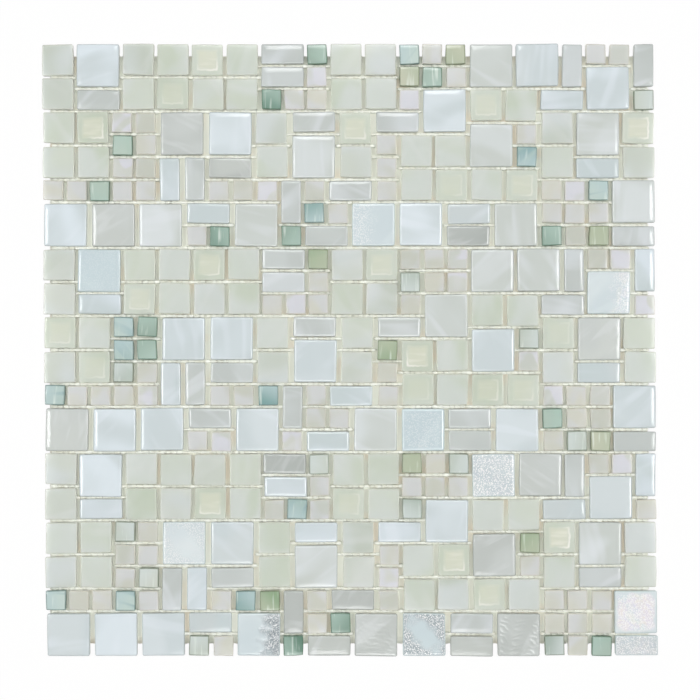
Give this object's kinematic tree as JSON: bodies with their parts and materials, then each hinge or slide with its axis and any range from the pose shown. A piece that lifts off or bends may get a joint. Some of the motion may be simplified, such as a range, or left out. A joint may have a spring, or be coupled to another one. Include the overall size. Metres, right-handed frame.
{
  "type": "glass mosaic tile sheet",
  "caption": "Square mosaic sheet of pale glass squares and bars in mixed sizes, laid with open joints on a backing net, to be bonded to a wall and grouted.",
  "frame": {"origin": "centre of the sheet's outline, on the underside of the backing net", "axes": "+X to the right along the courses, +Y up the sheet as it hangs on a wall, +Z out of the glass faces"},
  "size_m": [0.3008, 0.2994, 0.0045],
  "materials": {
    "white_opal_glass": "gloss",
    "pearl_opal_glass": "gloss",
    "smoke_opal_glass": "gloss",
    "dewdrop_opal_glass": "granular gloss",
    "celadon_glass": "gloss",
    "ivory_glass": "gloss",
    "cream_glass": "gloss",
    "rose_glass": "gloss",
    "sea_green_glass": "gloss",
    "aqua_glass": "gloss",
    "olive_glass": "gloss",
    "clear_glass": "gloss",
    "netting": "glass-fibre net in adhesive film"
  },
  "bodies": {
    "root": {"large_squares_white": "white_opal_glass", "large_squares_pearl": "pearl_opal_glass", "large_squares_smoke": "smoke_opal_glass", "large_squares_dewdrop": "dewdrop_opal_glass", "bars_white": "white_opal_glass", "bars_pearl": "pearl_opal_glass", "bars_smoke": "smoke_opal_glass", "bars_dewdrop": "dewdrop_opal_glass", "medium_squares_celadon": "celadon_glass", "medium_squares_ivory": "ivory_glass", "medium_squares_cream": "cream_glass", "small_squares_ivory": "ivory_glass", "small_squares_rose": "rose_glass", "small_squares_sea_green": "sea_green_glass", "small_squares_aqua": "aqua_glass", "small_squares_olive": "olive_glass", "small_squares_clear": "clear_glass", "backing_net": "netting"}
  },
  "joints": []
}
